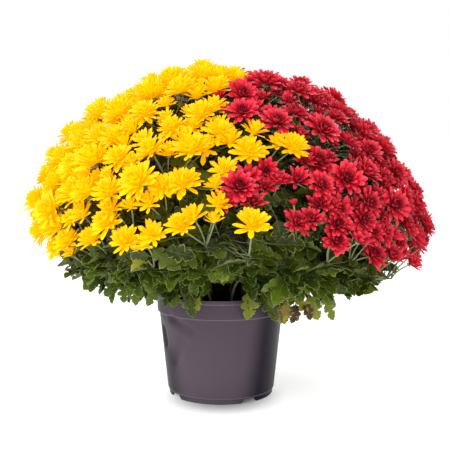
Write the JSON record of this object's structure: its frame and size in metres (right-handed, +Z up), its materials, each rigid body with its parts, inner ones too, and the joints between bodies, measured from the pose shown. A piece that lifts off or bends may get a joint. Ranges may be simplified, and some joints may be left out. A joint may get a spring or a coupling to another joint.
{
  "type": "pot chrysanthemum",
  "caption": "Garden chrysanthemums in yellow and red grown into one wide dome of double blooms over lobed leaves, in a tapered round plastic nursery pot that stands on its foot ring.",
  "frame": {"origin": "middle of the plant's footprint, on the surface the pot stands on; the pot's own axis is 10.7 mm to the left of it", "axes": "+Z up, -Y towards the front seen in the picture, +X to the right, towards the red plant"},
  "size_m": [0.59, 0.5804, 0.48],
  "materials": {
    "pot": "satin",
    "soil": "rough",
    "leaf": "satin",
    "yellow_petal": "matte",
    "red_petal": "matte"
  },
  "bodies": {
    "root": {"leafy_shoot_01": "leaf", "leafy_shoot_02": "leaf", "leafy_shoot_03": "leaf", "leafy_shoot_04": "leaf", "leafy_shoot_05": "leaf", "leafy_shoot_06": "leaf", "leafy_shoot_07": "leaf", "leafy_shoot_08": "leaf", "leafy_shoot_09": "leaf", "leafy_shoot_10": "leaf", "leafy_shoot_11": "leaf", "leafy_shoot_12": "leaf", "pot": "pot", "red_low_spray_01": "red_petal", "red_low_spray_02": "red_petal", "red_low_spray_03": "red_petal", "red_low_spray_04": "red_petal", "red_low_spray_05": "red_petal", "red_spray_01": "red_petal", "red_spray_02": "red_petal", "red_spray_03": "red_petal", "red_spray_04": "red_petal", "red_spray_05": "red_petal", "red_spray_06": "red_petal", "red_spray_07": "red_petal", "red_spray_08": "red_petal", "red_spray_09": "red_petal", "red_spray_10": "red_petal", "red_spray_11": "red_petal", "red_spray_12": "red_petal", "red_spray_13": "red_petal", "red_spray_14": "red_petal", "red_spray_15": "red_petal", "red_spray_16": "red_petal", "red_spray_17": "red_petal", "red_stem": "leaf", "soil": "soil", "yellow_low_spray_01": "yellow_petal", "yellow_low_spray_02": "yellow_petal", "yellow_low_spray_03": "yellow_petal", "yellow_low_spray_04": "yellow_petal", "yellow_low_spray_05": "yellow_petal", "yellow_spray_01": "yellow_petal", "yellow_spray_02": "yellow_petal", "yellow_spray_03": "yellow_petal", "yellow_spray_04": "yellow_petal", "yellow_spray_05": "yellow_petal", "yellow_spray_06": "yellow_petal", "yellow_spray_07": "yellow_petal", "yellow_spray_08": "yellow_petal", "yellow_spray_09": "yellow_petal", "yellow_spray_10": "yellow_petal", "yellow_spray_11": "yellow_petal", "yellow_spray_12": "yellow_petal", "yellow_spray_13": "yellow_petal", "yellow_spray_14": "yellow_petal", "yellow_spray_15": "yellow_petal", "yellow_stem": "leaf"}
  },
  "joints": []
}
